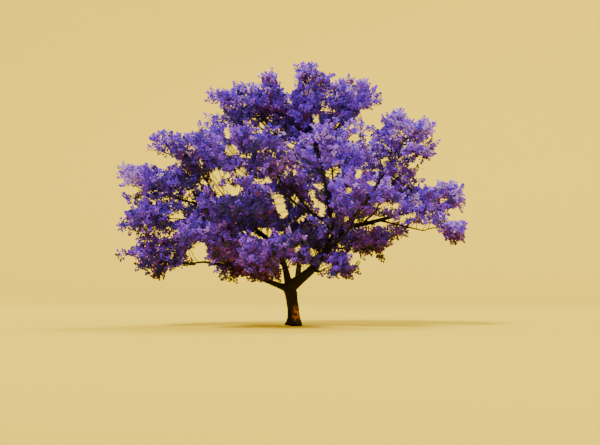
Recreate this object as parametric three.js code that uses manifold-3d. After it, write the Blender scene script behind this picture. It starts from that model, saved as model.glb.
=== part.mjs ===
// A jacaranda in full bloom, rooted in level ground: a short leaning trunk with a root flare,
// boughs that fork from it and from each other, and one mass of blossom on the tip of each bough.
// Millimetres, +Z up, the origin at the middle of the flat cut under the trunk. The front of the
// tree looks along -Y, with +X on the right. Bearings turn from +X towards +Y.
import * as THREE from "three";
import { mergeVertices } from "three/addons/utils/BufferGeometryUtils.js";
import Module from "manifold-3d";

const METRE = 1000;
const CLEARANCE = 0.3; // between a solid and the one that carries it
const UP = new THREE.Vector3(0, 0, 1);
const GOLDEN_ANGLE = Math.PI * (3 - Math.sqrt(5));
const WELD = 1e-3; // points nearer than this are one
const BOUGH_SEED = 1; // of the first bough; each bough or mass after it adds one
const MASS_SEED = 100;

const TRUNK = {
  height: 1700, // from the flat cut to the top of the fork
  radius: 235, // of the plain shaft
  lean: 220, // how far the fork stands to the left of the foot
  flare: 235, // how much wider the foot is, all round
  flareHeight: 150, // in which the flare falls to about a third
  rootRidge: 75, // how far the root ridges stand out of the flare
  rootRidges: 5,
  headSwell: 70, // how much the fork widens the shaft
  headStart: 0.66, // the share of the height where it starts to
  headRound: 0.93, // and where the head starts to close
  headClosing: 0.45, // the share of its radius that the head loses there
  crowding: 1.6, // draws the rings down towards the foot
  sides: 18,
  rings: 9,
};

const BOUGH = {
  girth: 0.6, // a bough's root radius, as a share of its carrier's there
  tipRadius: 22, // under a mass of no spread
  tipPerMetre: 9, // and how much more for each metre of its spread
  slimming: 0.85, // the power of the taper: under 1 a bough stays thick for longer
  follow: 0.4, // how much a bough first follows its carrier
  upturn: 0.35, // how much its tip turns up
  handle: 0.36, // the reach of both turns, as a share of its length
  wobble: 0.03, // its crooks, as a share of its length
  knees: 6, // stretches between crooks
  entry: 0.8, // how far out in its mass it ends, as a share of the mass's radii
  sides: 5,
  carrierSides: 7, // where it carries other boughs
  rings: 6,
};

const STEM = {
  slimming: 0.45, // its end radius, as a share of its root radius
  firstTwig: 0.35, // the share of its length where the twigs start
  turn: 0.4, // how far it follows its bough before it turns, as a share of its length
  sides: 4,
  rings: 2,
};

const TWIG = {
  radius: 16,
  tipRadius: 8,
  least: 2.4, // twigs on a mass of no spread
  perMetre: 1.7, // and how many more for each metre of its spread
  reach: 0.45, // where a twig ends, as a share of the mass's spread
  rise: 0.7, // and of its depth
  highest: 0.92, // the first twig's height in the mass, from -1 to 1
  lowest: -0.62, // and the last one's
  sides: 3,
  rings: 1,
};

const SPRAY = {
  sides: 3,
  lengths: [0.72, 0.6, 0.48, 0.36], // the choices, as shares of the mass's spread: the first that fits
  width: 1, // as a share of its length
  thickness: 0.8,
  apart: 0.68, // how far the middle of a spray keeps from another's, as a share of its length
  level: 0.4, // how much of its slope it keeps
  spreadAngle: 1.35, // radians between a side spray and its twig
  roll: 0.5, // the most that it turns about its own length, in radians
  tipPlace: 0.9, // where the end spray roots, along the twig
  sidePlaces: [0.34, 0.56, 0.78], // and the side sprays
};

const CELL_MARGIN = 20; // between a mass and the plane that parts it from the next
const LIMB_MARGIN = 12; // between a spray or twig and a limb

// The crown's tiers, in metres: the height and reach of a mass's middle, its spread (its radius
// from above) and its depth (half its height).
const TIERS = {
  skirt: { height: 3.1, reach: 4.4, spread: 1.5, depth: 0.95 },
  middle: { height: 4.6, reach: 4.8, spread: 1.65, depth: 1.2 },
  shoulder: { height: 6.9, reach: 3.3, spread: 1.9, depth: 1.2 },
  top: { height: 8.8, reach: 2.2, spread: 1.5, depth: 1.05 },
};

// Each bough: what carries it, how far along that it leaves, the tier and bearing of its mass, and
// where the mass departs from its tier. A bough comes after the one that carries it. Those that
// show from the front also pass through given places, in metres.
const BOUGHS = {
  left_low: {
    on: "trunk", along: 0.86, girth: 0.5,
    through: [[-1.2, 0, 1.85], [-2.4, 0, 2.28], [-3.4, 0, 2.56]],
    tier: "skirt", bearing: 181, reach: 5.45, height: 2.75, depth: 1.05,
  },
  left_arm: {
    on: "trunk", along: 0.9, girth: 0.55,
    through: [[-0.3, 0.05, 2.3], [-0.85, 0.1, 3.25], [-2.3, 0.05, 4.4]],
    tier: "middle", bearing: 179, reach: 5.65, height: 5.75, spread: 1.75, depth: 0.95,
  },
  right_tip: {
    on: "trunk", along: 0.9, girth: 0.85,
    through: [[0.45, 0, 2.0], [0.85, 0, 2.42], [1.5, 0, 3.3], [2.0, 0, 3.9], [2.9, 0.1, 4.1], [4.2, 0.1, 4.45]],
    tier: "middle", bearing: 2, reach: 5.9, height: 5.1, spread: 1.05, depth: 0.9,
  },
  leader: {
    on: "right_tip", along: 0.4, girth: 0.72,
    through: [[1.42, 0, 4.7], [1.12, 0, 6.4], [0.6, 0, 8.2]],
    tier: "top", bearing: 0, reach: 0.6, height: 9.85, spread: 0.9, depth: 1.0,
  },

  low_centre: {
    on: "left_low", along: 0.3,
    tier: "skirt", bearing: 218, reach: 1.9, height: 2.8,
  },
  left_low_back: {
    on: "left_low", along: 0.42,
    tier: "skirt", bearing: 143, reach: 4.6, height: 3.8, depth: 0.95,
  },
  left_low_front: {
    on: "left_low", along: 0.5,
    tier: "skirt", bearing: 228, reach: 4.7, height: 3.3,
  },

  front_left: {
    on: "left_arm", along: 0.14,
    tier: "middle", bearing: 237, reach: 4.6, height: 4.5,
  },
  back_left: {
    on: "left_arm", along: 0.2,
    tier: "middle", bearing: 88, reach: 4.5, height: 5.3,
  },
  inner_left: {
    on: "left_arm", along: 0.34,
    tier: "middle", bearing: 170, reach: 2.6, height: 4.4, spread: 1.3,
  },
  left_mid: {
    on: "left_arm", along: 0.52,
    tier: "middle", bearing: 183, reach: 5.6, height: 4.25, depth: 1.05,
  },
  left_shoulder: {
    on: "left_arm", along: 0.62,
    tier: "shoulder", bearing: 175, reach: 4.4, height: 7.15, depth: 0.95,
  },
  front_left_high: {
    on: "leader", along: 0.06,
    tier: "shoulder", bearing: 236, reach: 2.7, height: 6.8,
  },
  front_low: { on: "front_left", along: 0.36, tier: "skirt", bearing: 262, height: 2.75 },
  back_left_high: {
    on: "back_left", along: 0.42,
    tier: "shoulder", bearing: 143, reach: 3.9, height: 7.55, spread: 1.6,
  },
  back_low: { on: "back_left", along: 0.36, tier: "skirt", bearing: 84 },

  top_back: { on: "leader", along: 0.48, tier: "top", bearing: 80, height: 8.3 },
  upper_left: { on: "leader", along: 0.55, tier: "top", bearing: 168, reach: 2.3, height: 8.9 },
  top_right: {
    on: "leader", along: 0.62,
    tier: "top", bearing: 2, reach: 2.55, height: 9.15, depth: 0.95,
  },
  top_left: {
    on: "leader", along: 0.7,
    tier: "top", bearing: 186, reach: 1.35, height: 9.4, spread: 1.1, depth: 0.95,
  },

  right_low_tuft: {
    on: "right_tip", along: 0.16,
    tier: "skirt", bearing: 325, reach: 1.95, height: 2.3, spread: 0.95, depth: 0.55,
  },
  front_right: { on: "right_tip", along: 0.22, tier: "middle", bearing: 306, height: 4.75 },
  back_right: { on: "right_tip", along: 0.3, tier: "middle", bearing: 58, height: 5.5 },
  right_low: {
    on: "right_tip", along: 0.34,
    tier: "skirt", bearing: 354, reach: 3.0, height: 3.15, spread: 1.2, depth: 0.75,
  },
  right_shoulder: {
    on: "right_tip", along: 0.47,
    tier: "shoulder", bearing: 2, reach: 4.55, height: 7.6, spread: 1.45, depth: 1.2,
  },
  right_mid: {
    on: "right_tip", along: 0.6,
    tier: "middle", bearing: 10, reach: 4.2, height: 5.7, spread: 1.6,
  },
  right_tip_low: {
    on: "right_tip", along: 0.72,
    tier: "middle", bearing: 356, reach: 6.25, height: 3.8, spread: 0.95, depth: 0.65,
  },
  front_right_high: {
    on: "front_right", along: 0.42,
    tier: "shoulder", bearing: 303, reach: 2.7, height: 6.8,
  },
  back_right_high: { on: "back_right", along: 0.42, tier: "shoulder", bearing: 62 },
};

const BARK = new THREE.MeshStandardMaterial({
  color: 0x3c2c20,
  roughness: 0.95,
  metalness: 0,
  flatShading: true,
});
const BLOSSOM = new THREE.MeshStandardMaterial({
  color: 0x5a48ae,
  roughness: 0.8,
  metalness: 0,
  flatShading: true,
});

// ---- Chance and solids ----

// A stream of numbers from 0 to 1, the same on every run (the mulberry32 generator).
function seeded(seed) {
  let state = seed >>> 0;
  return () => {
    state = (state + 0x6d2b79f5) >>> 0;
    let mixed = Math.imul(state ^ (state >>> 15), state | 1);
    mixed ^= mixed + Math.imul(mixed ^ (mixed >>> 7), mixed | 61);
    return ((mixed ^ (mixed >>> 14)) >>> 0) / 2 ** 32;
  };
}

const between = (low, high, random) => low + (high - low) * random();

const wasm = await Module();
wasm.setup();

// A closed geometry as a solid that can be joined and cut.
function solidOf(geometry) {
  geometry.deleteAttribute("normal");
  geometry.deleteAttribute("uv");
  const merged = mergeVertices(geometry, WELD);
  return new wasm.Manifold(
    new wasm.Mesh({
      numProp: 3,
      vertProperties: merged.getAttribute("position").array,
      triVerts: new Uint32Array(merged.index.array),
    }),
  );
}

// The largest body of a solid. Cutting leaves scraps behind, and fusing can seal a hollow.
function largestBody(solid) {
  return solid.decompose().reduce((best, body) => (body.volume() > best.volume() ? body : best));
}

function meshOf(name, solid, material) {
  const { vertProperties, triVerts } = solid.getMesh();
  const geometry = new THREE.BufferGeometry()
    .setAttribute("position", new THREE.BufferAttribute(vertProperties, 3))
    .setIndex(new THREE.BufferAttribute(triVerts, 1));
  const mesh = new THREE.Mesh(geometry, material);
  mesh.name = name;
  return mesh;
}

// ---- The trunk ----

// Its middle rises evenly with the share of the curve, so each ring can lie level.
const trunkCurve = new THREE.QuadraticBezierCurve3(
  new THREE.Vector3(),
  new THREE.Vector3(0, 0, TRUNK.height / 2),
  new THREE.Vector3(-TRUNK.lean, 0, TRUNK.height),
);

function trunkRadius(share, angle) {
  const foot = Math.exp((-share * TRUNK.height) / TRUNK.flareHeight);
  const ridge = TRUNK.rootRidge * foot * Math.cos(TRUNK.rootRidges * angle);
  const head = TRUNK.headSwell * THREE.MathUtils.smoothstep(share, TRUNK.headStart, TRUNK.headRound);
  const closing = Math.max(0, (share - TRUNK.headRound) / (1 - TRUNK.headRound));
  return (TRUNK.radius + TRUNK.flare * foot + ridge + head) * (1 - TRUNK.headClosing * closing ** 2);
}

// `extra` grows the solid, for cutting what leaves it.
function trunkSolid(extra = 0) {
  const geometry = new THREE.CylinderGeometry(1, 1, 1, TRUNK.sides, TRUNK.rings);
  const position = geometry.getAttribute("position");
  for (let i = 0; i < position.count; i++) {
    const [x, y, z] = [position.getX(i), position.getY(i), position.getZ(i)];
    const share = (y + 0.5) ** TRUNK.crowding;
    const radius = trunkRadius(share, Math.atan2(x, z)) + extra;
    const middle = trunkCurve.getPoint(share);
    position.setXYZ(i, middle.x + radius * z, radius * x, middle.z + extra * share);
  }
  return solidOf(geometry);
}

// ---- Limbs: boughs, stems and twigs ----

// A limb is a curve with a radius at each share of its length.
function makeLimb(curve, rootRadius, tipRadius, { slimming = 1, sides, rings }) {
  const radiusAt = (share) => tipRadius + (rootRadius - tipRadius) * (1 - share) ** slimming;
  return { curve, radiusAt, sides, rings };
}

// A cylinder bent along the limb's curve, `extra` thicker than the limb.
function limbSolid({ curve, radiusAt, sides, rings }, extra = 0) {
  const geometry = new THREE.CylinderGeometry(1, 1, 1, sides, rings);
  const frames = curve.computeFrenetFrames(rings);
  const position = geometry.getAttribute("position");
  for (let i = 0; i < position.count; i++) {
    const ring = Math.round((position.getY(i) + 0.5) * rings);
    const radius = radiusAt(ring / rings) + extra;
    const place = curve
      .getPointAt(ring / rings)
      .addScaledVector(frames.normals[ring], radius * position.getZ(i))
      .addScaledVector(frames.binormals[ring], radius * position.getX(i));
    position.setXYZ(i, place.x, place.y, place.z);
  }
  return solidOf(geometry);
}

// The limb as straight stretches, each with the larger radius of its two ends.
function stretches({ curve, radiusAt, rings }) {
  const points = curve.getSpacedPoints(rings);
  return points.slice(1).map((end, i) => ({
    line: new THREE.Line3(points[i], end),
    radius: radiusAt(i / rings),
  }));
}

// ---- The plan of the crown ----

// The space of each mass: an ellipsoid about its middle.
const masses = Object.entries(BOUGHS).map(([name, bough], index) => {
  const { bearing, reach, height, spread, depth } = { ...TIERS[bough.tier], ...bough };
  const angle = THREE.MathUtils.degToRad(bearing);
  return {
    name,
    index,
    middle: new THREE.Vector3(
      reach * Math.cos(angle) * METRE,
      reach * Math.sin(angle) * METRE,
      height * METRE,
    ),
    radii: new THREE.Vector3(spread, spread, depth).multiplyScalar(METRE),
    spread,
  };
});

// Where a bough that starts at `root` ends: just inside its mass, on the side that faces the root.
function entryPoint(mass, root) {
  const towards = root.clone().sub(mass.middle).divide(mass.radii).normalize();
  return towards.multiply(mass.radii).multiplyScalar(BOUGH.entry).add(mass.middle);
}

// A curve that leaves `root` partly along its carrier and reaches `tip` turned upwards, with
// crooks, or one through given places.
function boughCurve(root, tip, carrierDirection, { follow, upturn, through }, random) {
  if (through) {
    const places = through.map((place) => new THREE.Vector3(...place).multiplyScalar(METRE));
    return new THREE.CatmullRomCurve3([root, ...places, tip]);
  }
  const length = root.distanceTo(tip);
  const straight = tip.clone().sub(root).normalize();
  const leaving = straight.clone().lerp(carrierDirection, follow).normalize();
  const arriving = straight.clone().lerp(UP, upturn).normalize();
  const smooth = new THREE.CubicBezierCurve3(
    root,
    root.clone().addScaledVector(leaving, BOUGH.handle * length),
    tip.clone().addScaledVector(arriving, -BOUGH.handle * length),
    tip,
  );
  const knees = smooth.getPoints(BOUGH.knees);
  for (const knee of knees.slice(1, -1)) {
    const crook = new THREE.Vector3(random() - 0.5, random() - 0.5, random() - 0.5);
    knee.addScaledVector(crook, 2 * BOUGH.wobble * length);
  }
  return new THREE.CatmullRomCurve3(knees);
}

const trunk = { curve: trunkCurve, radiusAt: () => TRUNK.radius };
const limbs = { trunk };
for (const mass of masses) {
  const bough = { ...BOUGH, ...BOUGHS[mass.name] };
  const { on, along, girth } = bough;
  const carrier = limbs[on];
  const root = carrier.curve.getPointAt(along);
  const curve = boughCurve(
    root,
    entryPoint(mass, root),
    carrier.curve.getTangentAt(along),
    bough,
    seeded(BOUGH_SEED + mass.index),
  );
  const tipRadius = BOUGH.tipRadius + BOUGH.tipPerMetre * mass.spread;
  const carries = Object.values(BOUGHS).some((bough) => bough.on === mass.name);
  limbs[mass.name] = makeLimb(curve, girth * carrier.radiusAt(along), tipRadius, {
    ...BOUGH,
    sides: carries ? BOUGH.carrierSides : BOUGH.sides,
  });
}

const boughStretches = masses.flatMap(({ name }) => stretches(limbs[name]));

// ---- Masses of blossom ----

// How far a point lies on a mass's own side of the plane that parts it from another mass.
function clearOfCell(point, mass, other) {
  const power = ({ middle, radii }) => point.distanceToSquared(middle) - radii.x ** 2;
  return (power(other) - power(mass)) / (2 * mass.middle.distanceTo(other.middle));
}

function insideSpace(point, mass) {
  if (point.clone().sub(mass.middle).divide(mass.radii).length() > 1) return false;
  return masses.every((other) => other === mass || clearOfCell(point, mass, other) > CELL_MARGIN);
}

function clearOfBoughs(line, radius) {
  return boughStretches.every(
    (bough) => Math.sqrt(line.distanceSqToLine3(bough.line)) > bough.radius + radius + LIMB_MARGIN,
  );
}

// The stem goes on from the bough's tip to the heart of the mass.
function stemOf(mass) {
  const bough = limbs[mass.name];
  const ahead = bough.curve.getTangentAt(1);
  const root = bough.curve.getPointAt(1).addScaledVector(ahead, CLEARANCE);
  const turn = root.clone().addScaledVector(ahead, STEM.turn * root.distanceTo(mass.middle));
  const curve = new THREE.QuadraticBezierCurve3(root, turn, mass.middle);
  return makeLimb(curve, bough.radiusAt(1), STEM.slimming * bough.radiusAt(1), STEM);
}

// Twigs leave the stem one after the other and end on a spiral over the mass, from its top down.
function twigsOf(mass, stem, random) {
  const count = Math.round(TWIG.least + TWIG.perMetre * mass.spread);
  const firstBearing = 2 * Math.PI * random();
  const twigs = [];
  for (let i = 0; i < count; i++) {
    const share = (i + 0.5) / count;
    const height = THREE.MathUtils.lerp(TWIG.highest, TWIG.lowest, share);
    const bearing = firstBearing + i * GOLDEN_ANGLE;
    const round = Math.sqrt(1 - height ** 2);
    const tip = new THREE.Vector3(Math.cos(bearing) * round, Math.sin(bearing) * round, height)
      .multiply(new THREE.Vector3(TWIG.reach, TWIG.reach, TWIG.rise))
      .multiply(mass.radii)
      .add(mass.middle);
    const root = stem.curve.getPointAt(THREE.MathUtils.lerp(1, STEM.firstTwig, share));
    const twig = makeLimb(new THREE.LineCurve3(root, tip), TWIG.radius, TWIG.tipRadius, TWIG);
    const fits = stretches(twig).every(
      ({ line, radius }) => clearOfBoughs(line, radius) && insideSpace(line.end, mass),
    );
    if (fits) twigs.push(twig);
  }
  return twigs;
}

// A spray of blossom: a spindle of flat faces, rooted at a point and lying along a direction.
function spraySolid(line, roll) {
  const length = line.distance();
  const direction = line.delta(new THREE.Vector3()).normalize();
  const level = new THREE.Vector3().crossVectors(direction, UP).normalize();
  const side = level.applyAxisAngle(direction, roll);
  const normal = new THREE.Vector3().crossVectors(side, direction);
  const middle = line.getCenter(new THREE.Vector3());
  const geometry = new THREE.SphereGeometry(length / 2, SPRAY.sides, 2)
    .scale(SPRAY.width, 1, SPRAY.thickness)
    .applyMatrix4(new THREE.Matrix4().makeBasis(side, direction, normal).setPosition(middle));
  return solidOf(geometry);
}

function sprayFits(solid, line, mass, sprays) {
  const { vertProperties } = solid.getMesh();
  for (let i = 0; i < vertProperties.length; i += 3) {
    if (!insideSpace(new THREE.Vector3().fromArray(vertProperties, i), mass)) return false;
  }
  const length = line.distance();
  const middle = line.getCenter(new THREE.Vector3());
  const apart = sprays.every((other) => middle.distanceTo(other.middle) > SPRAY.apart * length);
  return apart && clearOfBoughs(line, (SPRAY.width * length) / 2);
}

// Adds the sprays of one twig: one over its tip, and others on either side in turn further down.
// Each is as long as there is room for, or left out.
function addSprays(sprays, twig, mass, random) {
  const places = [
    [SPRAY.tipPlace, 0],
    ...SPRAY.sidePlaces.map((place, i) => [place, i % 2 ? -SPRAY.spreadAngle : SPRAY.spreadAngle]),
  ];
  for (const [place, turn] of places) {
    const root = twig.curve.getPointAt(place);
    const direction = twig.curve.getTangentAt(place).applyAxisAngle(UP, turn);
    direction.z *= SPRAY.level;
    direction.normalize();
    const roll = between(-SPRAY.roll, SPRAY.roll, random);
    for (const share of SPRAY.lengths) {
      const length = share * mass.radii.x;
      const line = new THREE.Line3(root, root.clone().addScaledVector(direction, length));
      const solid = spraySolid(line, roll);
      if (sprayFits(solid, line, mass, sprays)) {
        sprays.push({ solid, middle: line.getCenter(new THREE.Vector3()) });
        break;
      }
    }
  }
}

function massSolid(mass) {
  const random = seeded(MASS_SEED + mass.index);
  const stem = stemOf(mass);
  const twigs = twigsOf(mass, stem, random);
  const sprays = [];
  for (const twig of twigs) addSprays(sprays, twig, mass, random);
  const limbSolids = [stem, ...twigs].map((limb) => limbSolid(limb));
  return largestBody(wasm.Manifold.union([...limbSolids, ...sprays.map(({ solid }) => solid)]));
}

// ---- Assembly ----

// A bough starts inside its carrier, and is cut clear of it and of the boughs that left it before.
function boughSolid(name) {
  const { on } = BOUGHS[name];
  const names = Object.keys(BOUGHS);
  const earlier = names.slice(0, names.indexOf(name));
  const siblings = earlier.filter((other) => BOUGHS[other].on === on);
  const carrier = on === "trunk" ? trunkSolid(CLEARANCE) : limbSolid(limbs[on], CLEARANCE);
  const cutters = [carrier, ...siblings.map((other) => limbSolid(limbs[other], CLEARANCE))];
  return largestBody(cutters.reduce((solid, cutter) => solid.subtract(cutter), limbSolid(limbs[name])));
}

const tree = new THREE.Group();
tree.add(meshOf("trunk", trunkSolid(), BARK));
for (const mass of masses) {
  tree.add(meshOf("bough_" + mass.name, boughSolid(mass.name), BARK));
  tree.add(meshOf("mass_" + mass.name, massSolid(mass), BLOSSOM));
}

export default tree;
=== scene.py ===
"""A jacaranda in full bloom, dressed over its solids.

One mesh of bark stands for the trunk and the boughs. Each mass of blossom is grown again from the
tip of its bough by the rule of its solid, carried to finer wood: a stem, twigs that end on a
spiral over the mass, shoots on either side of each twig, stalks round each shoot, and flowers
round each stalk. Twigs and a few short limbs leave the boughs on the way, by the same rule.
"""

import functools
import math

import bmesh
import bpy
import numpy as np
from mathutils import Matrix, Vector, noise


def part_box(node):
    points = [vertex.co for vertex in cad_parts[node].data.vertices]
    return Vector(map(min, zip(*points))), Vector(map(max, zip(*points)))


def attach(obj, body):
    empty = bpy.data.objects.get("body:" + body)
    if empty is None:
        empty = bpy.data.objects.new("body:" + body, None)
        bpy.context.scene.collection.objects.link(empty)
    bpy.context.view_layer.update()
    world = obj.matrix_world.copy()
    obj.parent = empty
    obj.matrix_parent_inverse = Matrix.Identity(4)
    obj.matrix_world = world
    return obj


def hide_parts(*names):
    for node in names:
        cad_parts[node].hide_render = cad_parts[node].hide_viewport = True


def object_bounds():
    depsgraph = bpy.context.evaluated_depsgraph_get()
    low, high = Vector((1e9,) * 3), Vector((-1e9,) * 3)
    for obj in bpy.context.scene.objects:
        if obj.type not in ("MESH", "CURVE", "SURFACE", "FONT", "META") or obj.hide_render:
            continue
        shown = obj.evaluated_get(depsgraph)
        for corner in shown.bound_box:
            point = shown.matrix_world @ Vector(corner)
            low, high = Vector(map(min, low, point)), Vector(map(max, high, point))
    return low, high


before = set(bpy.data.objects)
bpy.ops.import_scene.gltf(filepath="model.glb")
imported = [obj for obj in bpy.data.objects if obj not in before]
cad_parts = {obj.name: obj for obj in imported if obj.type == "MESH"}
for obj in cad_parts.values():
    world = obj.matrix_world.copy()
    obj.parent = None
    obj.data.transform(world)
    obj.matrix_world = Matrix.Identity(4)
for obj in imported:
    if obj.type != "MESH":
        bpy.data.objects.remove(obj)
SOLID_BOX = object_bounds()

bl_info = {
    "name": "Jacaranda in bloom",
    "version": (1, 0, 0),
    "blender": (4, 5, 0),
    "location": "View3D > Sidebar > Jacaranda",
    "description": "Bark, twigs, blossom and leaves over the solids of a jacaranda",
    "category": "Object",
}

UP = np.array((0.0, 0.0, 1.0))
GOLDEN_ANGLE = math.pi * (3 - math.sqrt(5))
ASIDE = (0.31, 0.17, 0.93)  # a way that no limb follows, so that every limb has a side

# The masses whose wood, blossom and leaves are joined in one piece, by the part of the crown.
REGIONS = {
    "low_left": ("left_low", "left_low_back", "left_low_front", "low_centre", "front_low"),
    "left": ("left_arm", "left_mid", "inner_left", "front_left", "back_left"),
    "low_right": ("right_low", "right_low_tuft", "back_low", "right_shoulder"),
    "right": ("right_tip", "right_tip_low", "right_mid", "front_right", "back_right"),
    "shoulders": (
        "left_shoulder",
        "front_left_high",
        "back_left_high",
        "front_right_high",
        "back_right_high",
    ),
    "top": ("leader", "top_back", "upper_left", "top_right", "top_left"),
}

# Where the crown is seen from when its gaps line up: the eye's x, its distance in front of the
# trunk and its height, in metres.
EYE = (0.24, 60.0, 1.7)

# Gaps through the crown as they are seen from there: the middle's x and z, half the width and half
# the height, measured at the trunk.
SKY_GAPS = (
    # the lower left
    (-3.9, 2.9, 0.4, 0.25),
    (-3.74, 3.24, 0.22, 0.18),
    (-4.7, 4.35, 0.35, 0.16),
    (-1.28, 3.72, 0.4, 0.26),
    (-0.5, 3.72, 0.2, 0.1),
    (-6.75, 3.35, 0.5, 0.16),
    (-6.6, 2.5, 0.25, 0.2),
    # the middle left
    (-6.25, 6.65, 0.5, 0.2),
    (-2.6, 5.4, 0.55, 0.22),
    (-3.15, 5.95, 0.25, 0.27),
    (-2.15, 6.17, 0.24, 0.18),
    (-1.9, 6.8, 0.28, 0.1),
    (-1.1, 5.82, 0.18, 0.1),
    (-2.5, 7.02, 0.24, 0.22),
    (-2.7, 7.75, 0.14, 0.28),
    (-5.2, 6.55, 0.45, 0.25),
    (-6.6, 5.43, 0.42, 0.17),
    # between the limbs
    (-0.6, 5.07, 0.22, 0.22),
    (-0.43, 4.48, 0.2, 0.24),
    (0.02, 5.0, 0.14, 0.24),
    (0.45, 4.94, 0.1, 0.14),
    (0.74, 5.22, 0.16, 0.24),
    (0.93, 4.92, 0.14, 0.2),
    (1.12, 4.62, 0.15, 0.34),
    (1.0, 5.6, 0.17, 0.15),
    (1.52, 6.2, 0.24, 0.3),
    (1.67, 4.48, 0.14, 0.14),
    (0.13, 3.1, 0.12, 0.2),
    (0.76, 2.96, 0.13, 0.13),
    (-0.03, 2.0, 0.1, 0.14),
    (0.5, 2.42, 0.14, 0.1),
    (1.35, 2.36, 0.22, 0.14),
    (2.35, 2.55, 0.14, 0.14),
    (2.64, 2.3, 0.16, 0.14),
    # the right
    (2.56, 6.04, 0.17, 0.22),
    (2.2, 5.44, 0.2, 0.2),
    (3.12, 5.74, 0.18, 0.13),
    (2.15, 4.31, 0.22, 0.11),
    (3.12, 4.28, 0.36, 0.12),
    (3.68, 4.84, 0.5, 0.15),
    (4.6, 4.4, 0.3, 0.1),
    (5.2, 3.3, 0.8, 0.3),
    (3.95, 3.0, 0.3, 0.2),
    (4.25, 3.32, 0.3, 0.13),
    (5.35, 3.85, 0.35, 0.25),
    (6.4, 4.3, 0.34, 0.14),
    (5.5, 5.7, 0.2, 0.14),
    (4.95, 8.38, 0.2, 0.14),
    (5.8, 7.7, 0.2, 0.16),
    (4.75, 6.45, 0.2, 0.14),
    (5.0, 5.95, 0.18, 0.15),
    (6.0, 5.05, 0.2, 0.12),
    # the top
    (1.25, 10.38, 0.28, 0.2),
    (-2.8, 9.62, 0.45, 0.14),
    (-1.6, 9.85, 0.25, 0.16),
    (2.4, 7.55, 0.34, 0.15),
    (3.36, 8.2, 0.2, 0.3),
    (2.95, 8.5, 0.28, 0.14),
    (-0.16, 9.8, 0.22, 0.5),
    (0.9, 8.3, 0.14, 0.18),
    (-3.27, 8.66, 0.32, 0.25),
    (-4.6, 7.95, 0.9, 0.15),
)

# Where the blossom lies in light or in shade: the middle's x and z, the radius, and how much
# lighter it is.
LIGHTS = (
    (-6.8, 6.1, 1.0, 0.5),
    (6.0, 4.6, 1.8, 0.4),
    (4.6, 8.0, 1.5, 0.3),
    (-1.5, 2.9, 1.6, 0.25),
    (0.8, 6.4, 2.0, 0.15),
    (-1.6, 4.4, 2.0, -0.35),
    (-3.8, 5.6, 1.6, -0.2),
    (-1.35, 7.7, 1.4, -0.35),
    (-5.2, 4.5, 0.8, -0.25),
    (0.8, 3.0, 1.6, -0.25),
    (-5.0, 2.5, 1.5, -0.2),
)

LOWEST_TWIG = 1.85  # metres, the least height of the tip of a twig on a bough

# Where a mass puts out a lobe past its round form, in metres.
LOBES = {
    "leader": ((0.5, 0.0, 10.4), (1.3, 0.0, 9.95), (0.42, 0.0, 9.85)),
    "top_right": ((2.05, 0.1, 9.8), (3.3, 0.1, 9.2)),
    "top_left": ((-1.05, -0.1, 9.98), (-0.42, 0.0, 9.15), (-1.45, 0.3, 8.05)),
    "upper_left": ((-2.1, 0.2, 9.5), (-3.05, 0.2, 9.05)),
    "right_shoulder": ((3.65, 0.2, 8.15), (4.3, 0.2, 8.35), (5.45, 0.2, 7.95), (5.1, 0.2, 6.75)),
    "left_shoulder": ((-5.5, 0.1, 7.35), (-3.75, 0.2, 7.9)),
    "left_arm": ((-6.8, -0.1, 6.15),),
    "left_mid": ((-6.85, -0.2, 4.08),),
    "left_low": ((-6.8, -0.2, 2.85), (-5.2, -0.2, 2.2)),
    "right_tip": ((6.6, 0.1, 4.9), (6.5, 0.1, 5.5)),
    "right_low": ((3.4, -0.2, 2.8), (4.1, -0.1, 3.7)),
    "right_low_tuft": ((1.0, -0.6, 2.1), (1.7, -1.2, 2.1), (2.3, -0.9, 2.15)),
    "front_right_high": ((2.4, -1.0, 8.0), (2.9, -0.9, 7.95)),
}
LOBE_RADIUS = 0.4

# The shares of a bough with more twigs, where the blossom comes down to it, and how many more for
# each metre.
BUSHY_LIMBS = {
    "left_low": (0.08, 0.6, 15.0),
    "left_arm": (0.06, 0.4, 9.0),
    "right_tip": (0.1, 0.42, 9.0),
    "right_tip_low": (0.05, 0.35, 9.0),
    "leader": (0.72, 1.0, 9.0),
}
HANGING = ("right_tip_low",)  # where those twigs also hang

# Twigs that stand out on a bough: how far along each leaves, and where it ends, in metres.
LONE_TWIGS = {
    "left_low": (
        (0.08, (-0.82, -0.2, 2.04)),
        (0.12, (-1.0, -0.25, 2.25)),
        (0.16, (-1.35, -0.2, 1.98)),
        (0.3, (-1.75, -0.2, 2.02)),
        (0.34, (-2.5, -0.1, 1.95)),
        (0.45, (-2.7, -0.15, 2.2)),
    ),
}

# Short stout limbs that rise out of a bough: where along it, the x and z of the limb's bend and
# of its tip, and its radius.
STOUT_LIMBS = {
    "right_tip": ((0.03, (0.13, 2.3), (0.34, 3.1), 0.14),),
    "front_left_high": (
        (0.3, (0.1, 4.7), (-0.65, 5.6), 0.065),
        (0.4, (0.35, 4.85), (0.1, 5.5), 0.045),
    ),
    "leader": (
        (0.46, (0.15, 6.9), (-1.7, 8.2), 0.055),
        (0.42, (0.0, 6.6), (-2.0, 7.7), 0.045),
    ),
}

# The shares of a bough that are kept in view from the front.
OPEN_LIMBS = {
    "right_tip": (0.0, 0.8),
    "leader": (0.0, 0.95),
    "left_low": (0.66, 0.95),
    "left_arm": (0.0, 0.12),
    "front_left_high": (0.0, 0.45),
    "front_right_high": (0.1, 0.4),
    "right_tip_low": (0.1, 0.8),
    "right_shoulder": (0.1, 0.8),
    "right_mid": (0.0, 0.6),
    "top_right": (0.3, 1.0),
    "upper_left": (0.2, 0.8),
    "top_left": (0.3, 0.8),
    "left_shoulder": (0.4, 0.9),
}

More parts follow.
